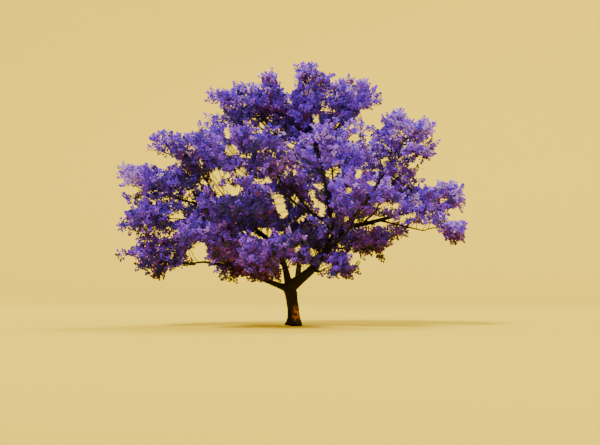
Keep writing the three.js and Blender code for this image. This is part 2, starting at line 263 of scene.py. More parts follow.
# The tints of the flowers, from the most shaded to the palest, with one that comes here and there.
TINTS = ("deep", "violet", "blue_violet", "mauve", "pale", "magenta")
TINT_STEPS = (0.24, 0.46, 0.72, 0.98)  # the daylight at which each tint gives way to the next


# ---- Settings ----


class BarkSettings(bpy.types.PropertyGroup):
    """The bark of the trunk and boughs"""

    grain: bpy.props.FloatProperty(
        name="Grain",
        description="Side of the little squares that the bark is meshed with",
        default=0.02,
        min=0.008,
        unit="LENGTH",
    )
    relief: bpy.props.FloatProperty(
        name="Relief",
        description="Depth of the ridges on the trunk",
        default=0.014,
        unit="LENGTH",
    )
    ridge_width: bpy.props.FloatProperty(
        name="Ridge width",
        description="Distance between ridges round the trunk",
        default=0.08,
        unit="LENGTH",
    )
    dark: bpy.props.FloatVectorProperty(
        name="Dark bark",
        description="Colour in the fissures and on the upper boughs",
        default=(0.004, 0.003, 0.003),
        subtype="COLOR",
    )
    pale: bpy.props.FloatVectorProperty(
        name="Pale bark",
        description="Colour of the ridges",
        default=(0.024, 0.015, 0.011),
        subtype="COLOR",
    )
    # The colour of the painted sunlight on the right side of the trunk's foot.
    sunlight_bark: bpy.props.FloatVectorProperty(
        name="Warm bark",
        description="Colour of the sunlit patch near the foot",
        default=(0.55, 0.20, 0.04),
        subtype="COLOR",
    )


class CrownSettings(bpy.types.PropertyGroup):
    """The twigs and flowers of the crown"""

    fullness: bpy.props.FloatVectorProperty(
        name="Fullness",
        description="How far the fine wood of a mass fills inwards past the twigs of its solid",
        default=(1.22, 1.22, 1.5),
    )
    twigs: bpy.props.FloatProperty(
        name="Twigs",
        description="Twigs in a mass, for each metre of its spread",
        default=9.5,
    )
    bough_twigs: bpy.props.FloatProperty(
        name="Twigs on boughs",
        description="Twigs along each metre of a bough",
        default=4.2,
    )
    shoots: bpy.props.IntProperty(
        name="Shoots",
        description="Shoots on a twig, its end one included",
        default=5,
    )
    stalks: bpy.props.IntProperty(
        name="Stalks",
        description="Flower stalks on a shoot",
        default=5,
    )
    stalk_length: bpy.props.FloatProperty(
        name="Stalk length",
        description="Length of a stalk with its flowers",
        default=0.28,
        unit="LENGTH",
    )
    flowers: bpy.props.IntProperty(
        name="Flowers",
        description="Flowers on a stalk",
        default=12,
    )
    flower_length: bpy.props.FloatProperty(
        name="Flower length",
        description="Length of a flower, larger than life",
        default=0.08,
        unit="LENGTH",
    )
    leafiness: bpy.props.FloatProperty(
        name="Leafiness",
        description="Share of the stalks in the shade that carry a leaf in place of flowers",
        default=0.07,
    )
    leaf_length: bpy.props.FloatProperty(
        name="Leaf length",
        description="Length of a leaf with all its leaflets",
        default=0.36,
        unit="LENGTH",
    )


class PetalSettings(bpy.types.PropertyGroup):
    """The colours of the flowers"""

    deep: bpy.props.FloatVectorProperty(
        name="Deep",
        description="Colour of the flowers in the deepest shade",
        default=(0.030, 0.006, 0.24),
        subtype="COLOR",
    )
    violet: bpy.props.FloatVectorProperty(
        name="Violet",
        description="Colour of the flowers in half shade",
        default=(0.112, 0.018, 0.64),
        subtype="COLOR",
    )
    blue_violet: bpy.props.FloatVectorProperty(
        name="Blue violet",
        description="Colour of most of the flowers",
        default=(0.195, 0.035, 0.93),
        subtype="COLOR",
    )
    mauve: bpy.props.FloatVectorProperty(
        name="Mauve",
        description="Colour of the flowers in the light",
        default=(0.36, 0.115, 1.0),
        subtype="COLOR",
    )
    pale: bpy.props.FloatVectorProperty(
        name="Pale",
        description="Colour of the flowers in the most light",
        default=(0.51, 0.32, 1.0),
        subtype="COLOR",
    )
    magenta: bpy.props.FloatVectorProperty(
        name="Magenta",
        description="Colour of a few flowers here and there",
        default=(0.19, 0.018, 0.36),
        subtype="COLOR",
    )


class StageSettings(bpy.types.PropertyGroup):
    """The studio round the tree"""

    paper: bpy.props.FloatVectorProperty(
        name="Paper",
        description="Colour of the floor and the wall that it turns up into",
        default=(0.89, 0.66, 0.035),
        subtype="COLOR",
    )
    key: bpy.props.FloatProperty(
        name="Key light",
        description="Strength of the soft light from the upper left",
        default=3.6,
    )
    back: bpy.props.FloatProperty(
        name="Back light",
        description="Strength of the soft light from behind",
        default=1.6,
    )
    fill: bpy.props.FloatProperty(
        name="Fill light",
        description="Strength of the light from all round",
        default=0.9,
    )
    distance: bpy.props.FloatProperty(
        name="Camera distance",
        description="How far in front of the trunk the camera stands",
        default=EYE[1],
        unit="LENGTH",
    )
    eye: bpy.props.FloatProperty(
        name="Eye height",
        description="Height of the camera",
        default=EYE[2],
        unit="LENGTH",
    )


# ---- Shader maths ----


class Value:
    """A socket that takes part in sums. Each operator adds a Math node."""

    def __init__(self, nodes, socket):
        self.nodes = nodes
        self.socket = socket

    def math(self, operation, first, second):
        return self.nodes.add("ShaderNodeMath", {"operation": operation}, {0: first, 1: second})

    def __add__(self, other):
        return self.math("ADD", self, other)

    def __sub__(self, other):
        return self.math("SUBTRACT", self, other)

    def __rsub__(self, other):
        return self.math("SUBTRACT", other, self)

    def __mul__(self, other):
        return self.math("MULTIPLY", self, other)

    __radd__ = __add__
    __rmul__ = __mul__


class Nodes:
    """The node tree of a new material, with its Principled shader."""

    def __init__(self, name, **constants):
        self.material = bpy.data.materials.new(name)
        self.material.use_nodes = True
        self.tree = self.material.node_tree
        self.shader = self.tree.nodes["Principled BSDF"]
        for socket, value in constants.items():
            self.shader.inputs[socket.replace("_", " ")].default_value = value

    def add(self, kind, settings=None, inputs=None, output=0):
        """A node of that kind. Its settings are set first, then its sockets."""
        node = self.tree.nodes.new(kind)
        for key, value in (settings or {}).items():
            setattr(node, key, value)
        for key, value in (inputs or {}).items():
            self.join(value, node.inputs[key])
        return Value(self, node.outputs[output])

    def join(self, value, socket):
        if isinstance(value, Value):
            self.tree.links.new(value.socket, socket)
        else:
            socket.default_value = value

    def place(self):
        return self.add("ShaderNodeTexCoord", output="Object")

    def noise(self, place, scale, detail=4.0, roughness=0.6):
        inputs = {"Vector": place, "Scale": scale, "Detail": detail, "Roughness": roughness}
        return self.add("ShaderNodeTexNoise", None, inputs)

    def ramp(self, value, low, high):
        """0 below low, 1 above high, and a smooth step between."""
        settings = {"interpolation_type": "SMOOTHSTEP"}
        inputs = {"Value": value, "From Min": low, "From Max": high}
        return self.add("ShaderNodeMapRange", settings, inputs)

    def mix(self, share, first, second):
        inputs = {"Factor": share, 6: first, 7: second}
        return self.add("ShaderNodeMix", {"data_type": "RGBA"}, inputs, output=2)

    def feed(self, socket, value):
        self.join(value, self.shader.inputs[socket])


def colour(rgb):
    return (*rgb, 1.0)


def bark_material(settings):
    """Dark fissured bark, with a patch of painted sunlight, warm and mottled, on the right side of
    the foot.
    """
    nodes = Nodes("bark", Roughness=0.9, Specular_IOR_Level=0.25)
    place = nodes.place()
    drawn_out = nodes.add("ShaderNodeMapping", None, {"Vector": place, "Scale": (1, 1, 0.28)})
    ridges = nodes.noise(drawn_out, 30.0, 6.0, 0.65)
    mottles = nodes.noise(place, 11.0, 4.0, 0.7)
    apart = nodes.add("ShaderNodeSeparateXYZ", None, {"Vector": place})
    height = nodes.add("ShaderNodeSeparateXYZ", None, {"Vector": place}, output="Z")
    low = 1 - nodes.ramp(height, 1.6, 3.6)
    share = nodes.ramp(ridges, 0.42, 0.66) * (0.35 + low * 0.65)
    wood = nodes.mix(share, colour(settings.dark), colour(settings.pale))
    # Painted sunlight: a warm patch, broken into mottles, on the right side of the trunk from
    # about 0.2 to 0.8 m up.
    right = nodes.ramp(apart, -0.12, 0.04)
    sunlight_patch = right * nodes.ramp(height, 0.16, 0.4) * (1 - nodes.ramp(height, 0.64, 0.9))
    painted_sunlight = sunlight_patch * nodes.ramp(mottles, 0.43, 0.6)
    nodes.feed("Base Color", nodes.mix(painted_sunlight, wood, colour(settings.sunlight_bark)))
    bump = {"Height": ridges, "Strength": 0.6, "Distance": 0.01}
    nodes.feed("Normal", nodes.add("ShaderNodeBump", None, bump))
    return nodes.material


def twig_material():
    """Young bark, smoother than the boughs'."""
    nodes = Nodes("twig_bark", Roughness=0.8, Specular_IOR_Level=0.3)
    grain = nodes.noise(nodes.place(), 18.0)
    dark, pale = (0.010, 0.008, 0.008), (0.035, 0.026, 0.023)
    nodes.feed("Base Color", nodes.mix(grain, colour(dark), colour(pale)))
    return nodes.material


def petal_material(name, rgb):
    """One tint of petal, thin and matt."""
    nodes = Nodes(
        "petal_" + name,
        Base_Color=colour(rgb),
        Roughness=0.65,
        Specular_IOR_Level=0.25,
        Sheen_Weight=0.2,
    )
    return nodes.material


def leaf_material():
    """The few leaves that are out among the flowers."""
    nodes = Nodes("leaf", Roughness=0.6)
    share = nodes.noise(nodes.place(), 3.0)
    dark, fresh = (0.012, 0.014, 0.004), (0.05, 0.055, 0.014)
    nodes.feed("Base Color", nodes.mix(share, colour(dark), colour(fresh)))
    return nodes.material


def paper_material(rgb):
    nodes = Nodes("paper", Roughness=1.0, Specular_IOR_Level=0.0)
    soft = nodes.noise(nodes.place(), 0.05, 2.0)
    darker = tuple(0.97 * c for c in rgb)
    nodes.feed("Base Color", nodes.mix(soft, colour(darker), colour(rgb)))
    return nodes.material


# ---- Lines and limbs ----


def unit(vector):
    return vector / np.linalg.norm(vector)


def turned(vector, axis, angle):
    return np.array(Matrix.Rotation(angle, 3, Vector(axis)) @ Vector(vector))


def bent(start, bend, end, steps):
    """Points along the quadratic curve from start to end that leaves towards bend."""
    t = np.linspace(0, 1, steps + 1)[:, None]
    return (1 - t) ** 2 * start + 2 * t * (1 - t) * bend + t**2 * end


def along(line, share):
    """The point and the direction at a share of a line's length."""
    steps = np.linalg.norm(np.diff(line, axis=0), axis=1)
    walked = np.concatenate(([0.0], np.cumsum(steps)))
    distance = share * walked[-1]
    index = int(np.clip(np.searchsorted(walked, distance) - 1, 0, len(steps) - 1))
    ahead = line[index + 1] - line[index]
    return line[index] + ahead * (distance - walked[index]) / steps[index], unit(ahead)


def solid_arrays(name):
    """The corners of a solid, and its triangles."""
    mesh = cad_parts[name].data
    mesh.calc_loop_triangles()
    points = np.empty(len(mesh.vertices) * 3)
    mesh.vertices.foreach_get("co", points)
    faces = np.empty(len(mesh.loop_triangles) * 3, dtype=int)
    mesh.loop_triangles.foreach_get("vertices", faces)
    return points.reshape(-1, 3), faces.reshape(-1, 3)


def section(points, faces, heights):
    """The middle and the area of the cut through a solid where heights is 0, or None."""
    corners = heights[faces]
    ends = []
    for first, second in ((0, 1), (1, 2), (2, 0)):
        a, b = corners[:, first], corners[:, second]
        crossing = (a > 0) != (b > 0)
        share = np.where(crossing, a / np.where(crossing, a - b, 1), 0)[:, None]
        place = points[faces[:, first]] * (1 - share) + points[faces[:, second]] * share
        ends.append(np.where(crossing[:, None], place, np.nan))
    cut = np.isfinite(np.stack(ends)[:, :, 0]).sum(0) == 2
    if cut.sum() < 3:
        return None
    pairs = np.stack(ends, axis=1)[cut]
    pairs = pairs[np.isfinite(pairs[:, :, 0])].reshape(-1, 2, 3)
    lengths = np.linalg.norm(pairs[:, 1] - pairs[:, 0], axis=1)
    middle = (pairs.mean(1) * lengths[:, None]).sum(0) / lengths.sum()
    fans = np.cross(pairs[:, 0] - middle, pairs[:, 1] - middle)
    return middle, np.linalg.norm(fans, axis=1).sum() / 2


@functools.cache
def limb_line(name, stations=28):
    """The middle line of a limb's solid and the radius at each point, from its root to its tip."""
    points, faces = solid_arrays(name)
    chord = np.linalg.svd(points - points.mean(0), full_matrices=False)[2][0]
    heights = points @ chord
    levels = np.linspace(heights.min(), heights.max(), stations + 2)[1:-1]
    cuts = [section(points, faces, heights - level) for level in levels]
    cuts = [cut for cut in cuts if cut]
    line = np.array([middle for middle, _ in cuts])
    slopes = np.gradient(line, axis=0)
    facing = np.abs(slopes @ chord) / np.linalg.norm(slopes, axis=1)
    radii = np.sqrt(np.array([area for _, area in cuts]) * facing / math.pi)
    if radii[:3].sum() < radii[-3:].sum():
        line, radii = line[::-1], radii[::-1]
    return line, radii


def bough_names():
    return sorted(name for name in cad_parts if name.startswith("bough_"))


# ---- Objects and meshes ----


def placed(name, data):
    """A new object in the scene."""
    piece = bpy.data.objects.new(name, data)
    bpy.context.scene.collection.objects.link(piece)
    return piece


def mesh_of(form, name):
    """A new mesh made from a form, which is freed."""
    mesh = bpy.data.meshes.new(name)
    form.to_mesh(mesh)
    form.free()
    return mesh


def finished_mesh(source, name):
    """The mesh of an object with its modifiers applied. The object itself is removed."""
    graph = bpy.context.evaluated_depsgraph_get()
    mesh = bpy.data.meshes.new_from_object(source.evaluated_get(graph))
    mesh.name = name
    bpy.data.objects.remove(source)
    return mesh


# ---- Bark ----


def bough_tubes():
    """Every bough as a round tube, thicker at its root, which runs on into its carrier."""
    curve = bpy.data.curves.new("boughs", "CURVE")
    curve.dimensions = "3D"
    curve.bevel_depth = 1.0
    curve.bevel_resolution = 3
    curve.use_fill_caps = True
    stout, sunk_stout, sunk_slim, past_tip = 0.1, 2.6, 1.4, 0.6
    collar_swell, collar_reach, root_swell = 0.34, 3.4, 1.1
    for name in bough_names():
        line, radii = limb_line(name)
        sunk = sunk_stout if radii[0] > stout else sunk_slim
        root = line[0] - unit(line[2] - line[0]) * radii[0] * sunk
        tip = line[-1] + unit(line[-1] - line[-3]) * radii[-1] * past_tip
        places = np.vstack((root, line, tip))
        walked = np.linalg.norm(line - line[0], axis=1)
        radii = radii * (1 + collar_swell * np.exp(-walked / (collar_reach * radii[0])))
        widths = np.concatenate((radii[:1] * root_swell, radii, radii[-1:]))
        spline = curve.splines.new("POLY")
        spline.points.add(len(places) - 1)
        spline.points.foreach_set("co", np.c_[places, np.ones(len(places))].ravel())
        spline.points.foreach_set("radius", widths)
    return curve


def trunk_mesh():
    """The trunk as rings drawn up from the foot, with the root ridges of its solid."""
    line, radii = limb_line("trunk", 40)
    if line[0][2] > line[-1][2]:
        line, radii = line[::-1], radii[::-1]
    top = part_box("trunk")[1].z
    foot = bmesh.new()
    ridges, ridge_depth, ridge_height = 5, 0.075, 0.19
    sides, foot_swell, top_taper = 64, 1.04, 0.8
    levels = np.concatenate(([0.0], line[:, 2], [top]))
    widths = np.concatenate((radii[:1] * foot_swell, radii, radii[-1:] * top_taper))
    middles = np.vstack(([0, 0], line[:, :2], line[-1:, :2]))
    bmesh.ops.create_circle(foot, cap_ends=True, segments=sides, radius=1.0)
    ring, edges, before = list(foot.verts), list(foot.edges), (0, 0)
    for index, (level, width, middle) in enumerate(zip(levels, widths, middles)):
        if index:
            made = bmesh.ops.extrude_edge_only(foot, edges=edges)["geom"]
            ring = [v for v in made if isinstance(v, bmesh.types.BMVert)]
            edges = [e for e in made if isinstance(e, bmesh.types.BMEdge) and e.is_boundary]
        fade = math.exp(-level / ridge_height)
        for vertex in ring:
            angle = math.atan2(vertex.co.y - before[1], vertex.co.x - before[0])
            radius = width + ridge_depth * fade * math.cos(ridges * angle)
            vertex.co.x = middle[0] + radius * math.cos(angle)
            vertex.co.y = middle[1] + radius * math.sin(angle)
            vertex.co.z = level
        before = middle
    bmesh.ops.holes_fill(foot, edges=edges, sides=sides)
    bmesh.ops.recalc_face_normals(foot, faces=foot.faces)
    return mesh_of(foot, "trunk_form")


def grown_together(settings):
    """The trunk and all boughs as one skin, with the forks grown together."""
    form = bmesh.new()
    form.from_mesh(finished_mesh(placed("boughs", bough_tubes()), "bough_form"))
    form.from_mesh(trunk_mesh())
    limbs = placed("limbs", mesh_of(form, "limbs"))
    skin = limbs.modifiers.new("skin", "REMESH")
    skin.mode = "VOXEL"
    skin.voxel_size = settings.grain
    plain = limbs.modifiers.new("plain", "DECIMATE")
    plain.ratio = 0.4
    return finished_mesh(limbs, "bark")


def ridged(mesh, settings):
    """Presses ridges and fissures into the bark, deep on the trunk and slight on the boughs."""
    form = bmesh.new()
    form.from_mesh(mesh)
    smoothings, fork_height, plain_height = 3, 1.9, 3.2
    least = 0.22  # the share of the relief that is left on the boughs
    fine = 1 / settings.ridge_width
    ridge_stretch, swell_across, swell_up = 0.22, 0.4, 0.15
    axes = {"use_axis_x": True, "use_axis_y": True, "use_axis_z": True}
    for _ in range(smoothings):
        bmesh.ops.smooth_vert(form, verts=form.verts, factor=0.5, **axes)
    low_faces = [f for f in form.faces if f.calc_center_median().z < fork_height]
    low_edges = list({edge for face in low_faces for edge in face.edges})
    bmesh.ops.subdivide_edges(form, edges=low_edges, cuts=1, use_grid_fill=True)
    form.normal_update()
    for vertex in form.verts:
        x, y, z = vertex.co * fine
        ridge = noise.noise((x, y, z * ridge_stretch))
        swell = noise.noise((x * swell_across, y * swell_across, z * swell_up))
        deep = settings.relief * (least + (1 - least) * max(0.0, 1 - vertex.co.z / plain_height))
        vertex.co += vertex.normal * deep * (0.5 - 2.0 * abs(ridge) + 0.5 * swell)
        vertex.co.z = max(vertex.co.z, 0.0)
    bmesh.ops.triangulate(form, faces=form.faces)
    form.to_mesh(mesh)
    form.free()
    mesh.shade_smooth()


class JACARANDA_OT_bark(bpy.types.Operator):
    """Cover the trunk and boughs with one skin of bark"""

    bl_idname = "jacaranda.bark"
    bl_label = "Bark"

    def execute(self, context):
        settings = context.scene.jacaranda_bark
        mesh = grown_together(settings)
        ridged(mesh, settings)
        mesh.materials.clear()
        mesh.materials.append(bark_material(settings))
        piece = placed("bark", mesh)
        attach(piece, "root")
        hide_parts("trunk", *bough_names())
        return {"FINISHED"}


# ---- Growth ----


def seen(places):
    """Where places appear from the eye, as x and z at the trunk."""
    places = np.asarray(places)
    nearness = EYE[1] / (EYE[1] + places[..., 1])
    x = EYE[0] + (places[..., 0] - EYE[0]) * nearness
    z = EYE[2] + (places[..., 2] - EYE[2]) * nearness
    return x, z


def in_gap(place):
    """Whether a place lies in a gap of the crown. The gaps have ragged edges."""
    usual_edge, fineness = 1.1, 2.4
    place_x, place_z = seen(place)
    edge = usual_edge + noise.noise((fineness * place_x, fineness * place_z, 0.0))
    return any(
        ((place_x - x) / half_width) ** 2 + ((place_z - z) / half_height) ** 2 < edge
        for x, z, half_width, half_height in SKY_GAPS
    )


def stout_limb(carrier, share, bend, tip):
    """Points along a short limb that rises out of a bough and stays as deep as its root."""
    root, _ = along(limb_line("bough_" + carrier)[0], share)
    bend, tip = (np.array((x, root[1], z)) for x, z in (bend, tip))
    return bent(root, bend, tip, 14)


@functools.cache
def limbs_in_view():
    """Points along the limbs that are kept in view, and the radius at each."""
    bare_points, bare_share = 11, 0.8  # how much of a short limb's length and radius
    spacing = 0.005  # of a bough's length
    points, radii = [], []
    for name, (start, end) in OPEN_LIMBS.items():
        line, widths = limb_line("bough_" + name)
        shares = np.linspace(0, 1, len(line))
        wanted = np.arange(start, end, spacing)
        points.append(np.stack([np.interp(wanted, shares, line[:, k]) for k in range(3)], axis=1))
        radii.append(np.interp(wanted, shares, widths))
    for name, limbs in STOUT_LIMBS.items():
        for share, bend, tip, radius in limbs:
            limb = stout_limb(name, share, bend, tip)[:bare_points]
            points.append(limb)
            radii.append(np.full(len(limb), bare_share * radius))
    return np.vstack(points), np.concatenate(radii)


def hides_limb(place):
    """Whether blossom at a place would hide one of those limbs from the front."""
    points, radii = limbs_in_view()
    widening, margin, close_behind = 1.6, 0.05, 0.1
    (x, z), (place_x, place_z) = seen(points), seen(place)
    beside = np.hypot(x - place_x, z - place_z) < widening * radii + margin
    return bool((beside & (points[:, 1] > place[1] - close_behind)).any())


def in_box(place):
    return all(low < x < high for low, x, high in zip(SOLID_BOX[0], place, SOLID_BOX[1]))


class Growth:
    """Fine wood and flower stalks, grown from one seed.

    Every turn, lift and reach is drawn from its range. Radii are at the root and at the tip.
    """

    SHOOTS_OVER = 0.75  # the share of a twig that carries shoots
    SHOOT_TURN = (0.6, 1.35)  # radians off the twig's own way
    SHOOT_LIFT = (-0.3, 0.45)
    SHOOT_REACH = (0.75, 1.2)  # of the length asked for
    SHOOT_ARCH, SHOOT_CROOK = 0.12, 0.05  # of its reach
    SHOOT_RADII = (0.010, 0.005)
    # A shoot that is too long for its space is drawn in to this share, up to so many times.
    DRAWN_IN, TRIES = 0.75, 6
    TWIG_CROOK = 0.06  # of its reach
    STALKS_OVER = 0.85  # the share of a shoot that carries stalks
    STALK_LIFT = (0.0, 0.7)
    STALK_REACH = (0.7, 1.25)  # of the length in the settings
    KEPT_CLEAR = 0.9  # the share of the stalks in front of an open limb that are left out
    LEAFLESS_LIGHT = 1.1  # the daylight from which no leaf is out

    def __init__(self, seed):
        self.chance = np.random.default_rng(seed)
        self.wood = []
        self.stalks = []
        self.leaves = []

    def fits(self, place):
        return in_box(place)

    def lightness(self, place):
        """How much daylight reaches a place, from 0 to about 1. It is lighter higher up."""
        foot, height, at_foot, more_at_top = 2.0, 7.0, 0.2, 0.25
        place_x, place_z = seen(place)
        light = at_foot + more_at_top * (place[2] - foot) / height
        for x, z, radius, change in LIGHTS:
            away = math.hypot(place_x - x, place_z - z) / radius
            light += change * max(0, 1 - away**2)
        return light

    def grow_shoots(self, twig, count, length, settings):
        """One shoot goes on from a twig's end, and others leave on either side of it."""
        for index in range(count):
            root, ahead = along(twig, 1 - self.SHOOTS_OVER * index / count)
            turn = 0
            if index:
                turn = (1 if index % 2 else -1) * self.chance.uniform(*self.SHOOT_TURN)
            way = turned(ahead, UP, turn)
            way = unit(way * (1, 1, 0.5) + UP * self.chance.uniform(*self.SHOOT_LIFT))
            reach = length * self.chance.uniform(*self.SHOOT_REACH)
            for _ in range(self.TRIES):
                tip = root + way * reach
                if self.fits(tip):
                    break
                reach *= self.DRAWN_IN
            crook = self.chance.normal(0, self.SHOOT_CROOK, 3) * reach
            bend = (root + tip) / 2 + UP * self.SHOOT_ARCH * reach + crook
            shoot = bent(root, bend, tip, 2)
            if self.grow_stalks(shoot, settings):
                self.wood.append((shoot, *self.SHOOT_RADII, 3))

    def grow_stalks(self, shoot, settings):
        """Flower stalks leave a shoot all round it and turn up. Gives how many have room."""
        grown = 0
        first = self.chance.uniform(0, 2 * math.pi)
        for index in range(settings.stalks):
            root, ahead = along(shoot, 1 - self.STALKS_OVER * index / settings.stalks)
            side = turned(unit(np.cross(ahead, UP) + 1e-6), ahead, first + index * GOLDEN_ANGLE)
            way = unit(0.6 * ahead + 0.8 * side + UP * self.chance.uniform(*self.STALK_LIFT))
            tip = root + way * settings.stalk_length * self.chance.uniform(*self.STALK_REACH)
            if not self.fits(tip) or in_gap(tip) or in_gap((root + tip) / 2):
                continue
            if self.chance.random() < self.KEPT_CLEAR and hides_limb((root + tip) / 2):
                continue
            grown += 1
            light = self.lightness(tip)
            shade = max(0, self.LEAFLESS_LIGHT - light)
            if self.chance.random() < settings.leafiness * shade:
                self.leaves.append((root, tip))
            else:
                self.stalks.append((root, tip, light))
        return grown


class Mass(Growth):
    """One mass of blossom, grown from the tip of its bough through its own space."""

    CROWN_HEART = (0, 0, 4.6)  # metres
    UNFILLED = (1.15, 1.15, 1.25)  # the fullness at which a mass keeps its middle
    STEM_BEND, STEM_TAPER = 0.4, 0.45
    FEWEST_TWIGS = 3
    TWIGS_OVER = 0.85  # the share of the stem that carries twigs
    HIGHEST, DROP = 0.92, 1.75  # the height of the first twig's tip, and from it to the last's
    TWIG_REACH, TALLER = (0.52, 0.84), 0.08  # of the mass's radii, and how much more in height
    TWIG_ARCH = 0.16  # of its length
    TWIG_ROOT, TWIG_TIP = 0.42, 0.009  # its radii: a share of the stem's, and metres
    LOBE_INSET = 0.15  # how far short of a lobe's middle its twig ends
    SHOOT_LENGTH = 0.4  # of the mass's spread

    def __init__(self, name, seed, settings):
        super().__init__(seed)
        low, high = (np.array(corner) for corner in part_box("mass_" + name))
        middle, radii = (low + high) / 2, (high - low) / 2
        fullness = np.array(settings.fullness)
        outward = unit(middle - self.CROWN_HEART)
        self.middle = middle - outward * radii * (fullness - self.UNFILLED)
        self.radii = radii * fullness
        self.spread = self.radii[:2].mean()
        self.lobes = np.array(LOBES.get(name, ())).reshape(-1, 3)
        line, radii = limb_line("bough_" + name)
        self.root, self.ahead = line[-1], unit(line[-1] - line[-3])
        self.root_radius = radii[-1]
        stem = self.grow_stem()
        for twig in self.grow_twigs(stem, settings):
            self.grow_shoots(twig, settings.shoots, self.SHOOT_LENGTH * self.spread, settings)

    def depth(self, place):
        """0 at the mass's middle and 1 at its skin."""
        return np.linalg.norm((place - self.middle) / self.radii)

    def fits(self, place):
        in_lobe = (np.linalg.norm(self.lobes - place, axis=1) < LOBE_RADIUS).any()
        return (in_lobe or self.depth(place) < 1) and in_box(place)

    def lightness(self, place):
        from_skin, from_height = 0.22, 0.26
        lift = (place[2] - self.middle[2]) / self.radii[2]
        light = super().lightness(place)
        return light + from_skin * self.depth(place) + from_height * lift

    def grow_stem(self):
        """From the bough's tip to the heart of the mass."""
        bend = self.root + self.ahead * self.STEM_BEND * np.linalg.norm(self.middle - self.root)
        stem = bent(self.root, bend, self.middle, 5)
        self.wood.append((stem, self.root_radius, self.STEM_TAPER * self.root_radius, 6))
        return stem

    def grow_twigs(self, stem, settings):
        """Twigs leave the stem one after the other and end on a spiral over the mass."""
        count = round(self.FEWEST_TWIGS + settings.twigs * self.spread)
        first = self.chance.uniform(0, 2 * math.pi)
        twigs = []
        for index in range(count):
            share = (index + 0.5) / count
            height = self.HIGHEST - self.DROP * share
            bearing = first + index * GOLDEN_ANGLE
            level = math.sqrt(1 - height**2)
            reach = self.chance.uniform(*self.TWIG_REACH)
            way = np.array((math.cos(bearing) * level, math.sin(bearing) * level, height))
            tip = self.middle + way * self.radii * (reach, reach, reach + self.TALLER)
            root, _ = along(stem, 1 - self.TWIGS_OVER * share)
            twigs.append(self.twig(root, tip))
        for lobe in self.lobes:
            twigs.append(self.twig(stem[-2], lobe + self.LOBE_INSET * (self.middle - lobe)))
        twigs = [twig for twig in twigs if not in_gap(twig[-1])]
        radii = self.TWIG_ROOT * self.root_radius, self.TWIG_TIP
        self.wood += [(twig, *radii, 4) for twig in twigs]
        return twigs

    def twig(self, root, tip):
        """A crooked twig that arches up on its way."""
        length = np.linalg.norm(tip - root)
        crook = self.chance.normal(0, self.TWIG_CROOK, 3) * length
        return bent(root, (root + tip) / 2 + UP * self.TWIG_ARCH * length + crook, tip, 4)


def evenly(start, end, density):
    """Shares spread evenly from start to end. The density is for a share of 1."""
    count = round(density * (end - start))
    return start + (end - start) * (np.arange(count) + 0.5) / count


class Bough(Growth):
    """The twigs and short limbs that leave a bough on its way to its mass."""

    FIRST_TWIG = 0.06  # of the bough's length
    TWIG_LIFT = (0.0, 0.8)
    TWIG_REACH = (0.5, 1.2)  # metres
    BUSHY_REACH = 0.75  # of that
    TWIG_RADII = (0.018, 0.008)
    TWIG_SHOOTS = (3, 0.4)  # how many, and how long
    FEWEST_STALKS = 4  # a twig with fewer is left out
    LONE_TWIG_RADII = (0.022, 0.010)
    LONE_TWIG_SHOOTS = (4, 0.22)
    LIMB_TAPER = 0.5
    LIMB_SHOOTS = (6, 0.3)

    def __init__(self, name, seed, settings):
        super().__init__(seed)
        self.name = name
        self.line, _ = limb_line("bough_" + name)
        self.grow_twigs(settings)
        self.grow_lone_twigs(settings)
        self.grow_limbs(settings)

    def grow_twigs(self, settings):
        """Twigs leave all round the bough, and more of them on its bushy stretch."""
        length = np.linalg.norm(np.diff(self.line, axis=0), axis=1).sum()
        shares = evenly(self.FIRST_TWIG, 1.0, settings.bough_twigs * length)
        plain = len(shares)
        if self.name in BUSHY_LIMBS:
            start, end, density = BUSHY_LIMBS[self.name]
            shares = np.append(shares, evenly(start, end, density * length))
        first = self.chance.uniform(0, 2 * math.pi)
        for index, share in enumerate(shares):
            root, ahead = along(self.line, share)
            side = turned(unit(np.cross(ahead, UP)), ahead, first + index * GOLDEN_ANGLE)
            if index < plain or self.name not in HANGING:
                side[2] = abs(side[2])
            way = unit(0.5 * ahead + side + UP * self.chance.uniform(*self.TWIG_LIFT))
            reach = self.chance.uniform(*self.TWIG_REACH)
            reach *= 1.0 if index < plain else self.BUSHY_REACH
            tip = root + way * reach
            bend = (root + tip) / 2 + self.chance.normal(0, self.TWIG_CROOK, 3) * reach
            twig = bent(root, bend, tip, 3)
            if in_gap(tip) or tip[2] < LOWEST_TWIG:
                continue
            before = len(self.stalks)
            self.grow_shoots(twig, *self.TWIG_SHOOTS, settings)
            if len(self.stalks) >= before + self.FEWEST_STALKS:
                self.wood.append((twig, *self.TWIG_RADII, 4))

    def grow_lone_twigs(self, settings):
        for share, tip in LONE_TWIGS.get(self.name, ()):
            root, ahead = along(self.line, share)
            twig = bent(root, root + 0.5 * ahead * np.linalg.norm(root - tip), np.array(tip), 3)
            self.wood.append((twig, *self.LONE_TWIG_RADII, 4))
            self.grow_shoots(twig, *self.LONE_TWIG_SHOOTS, settings)

    def grow_limbs(self, settings):
        for share, bend, tip, radius in STOUT_LIMBS.get(self.name, ()):
            limb = stout_limb(self.name, share, bend, tip)
            self.wood.append((limb, radius, self.LIMB_TAPER * radius, 10))
            self.grow_shoots(limb, *self.LIMB_SHOOTS, settings)


@functools.cache
def grown_crown():
    """What has grown in each region of the crown. Every mass and bough has a seed of its own."""
    settings = bpy.context.scene.jacaranda_crown
    first_mass, first_bough, apart = 1, 51, 100
    crown = {}
    for index, (region, names) in enumerate(REGIONS.items()):
        seed = apart * index
        masses = [Mass(name, seed + n, settings) for n, name in enumerate(names, first_mass)]
        boughs = [Bough(name, seed + n, settings) for n, name in enumerate(names, first_bough)]
        crown[region] = masses + boughs
    return crown


# ---- Joined meshes ----


